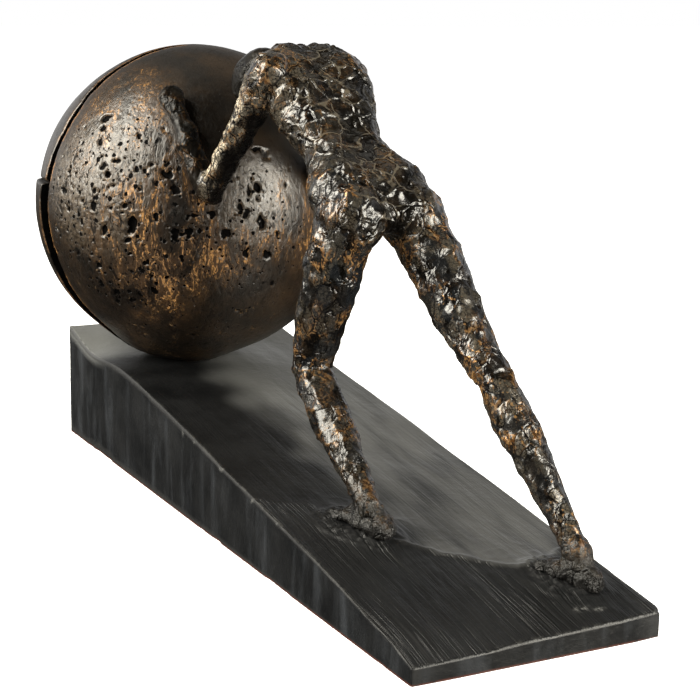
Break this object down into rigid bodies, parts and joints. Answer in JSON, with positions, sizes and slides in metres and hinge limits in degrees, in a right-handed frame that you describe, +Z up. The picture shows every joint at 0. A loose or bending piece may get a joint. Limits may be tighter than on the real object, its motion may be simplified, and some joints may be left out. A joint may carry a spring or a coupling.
{
  "type": "ball sculpture",
  "caption": "Table sculpture in bronze-finished cast resin: a bowed figure pushes a great cracked ball up a black ramp",
  "frame": {"origin": "middle of the ramp's flat underside", "axes": "+X runs along the ramp to its thin end, +Y to the figure's right hand, +Z up; the figure pushes the ball towards -X"},
  "size_m": [0.3759, 0.151, 0.2029],
  "materials": {
    "black_resin": "satin black cast resin, brushed by hand while wet",
    "ball_bronze": "cast resin with a glossy brown bronze finish, rubbed to ochre in streaks",
    "figure_bronze": "cast resin with a glossy dark bronze finish over hammered facets"
  },
  "bodies": {
    "root": {"base": "black_resin", "ball": "ball_bronze", "figure": "figure_bronze"}
  },
  "joints": []
}
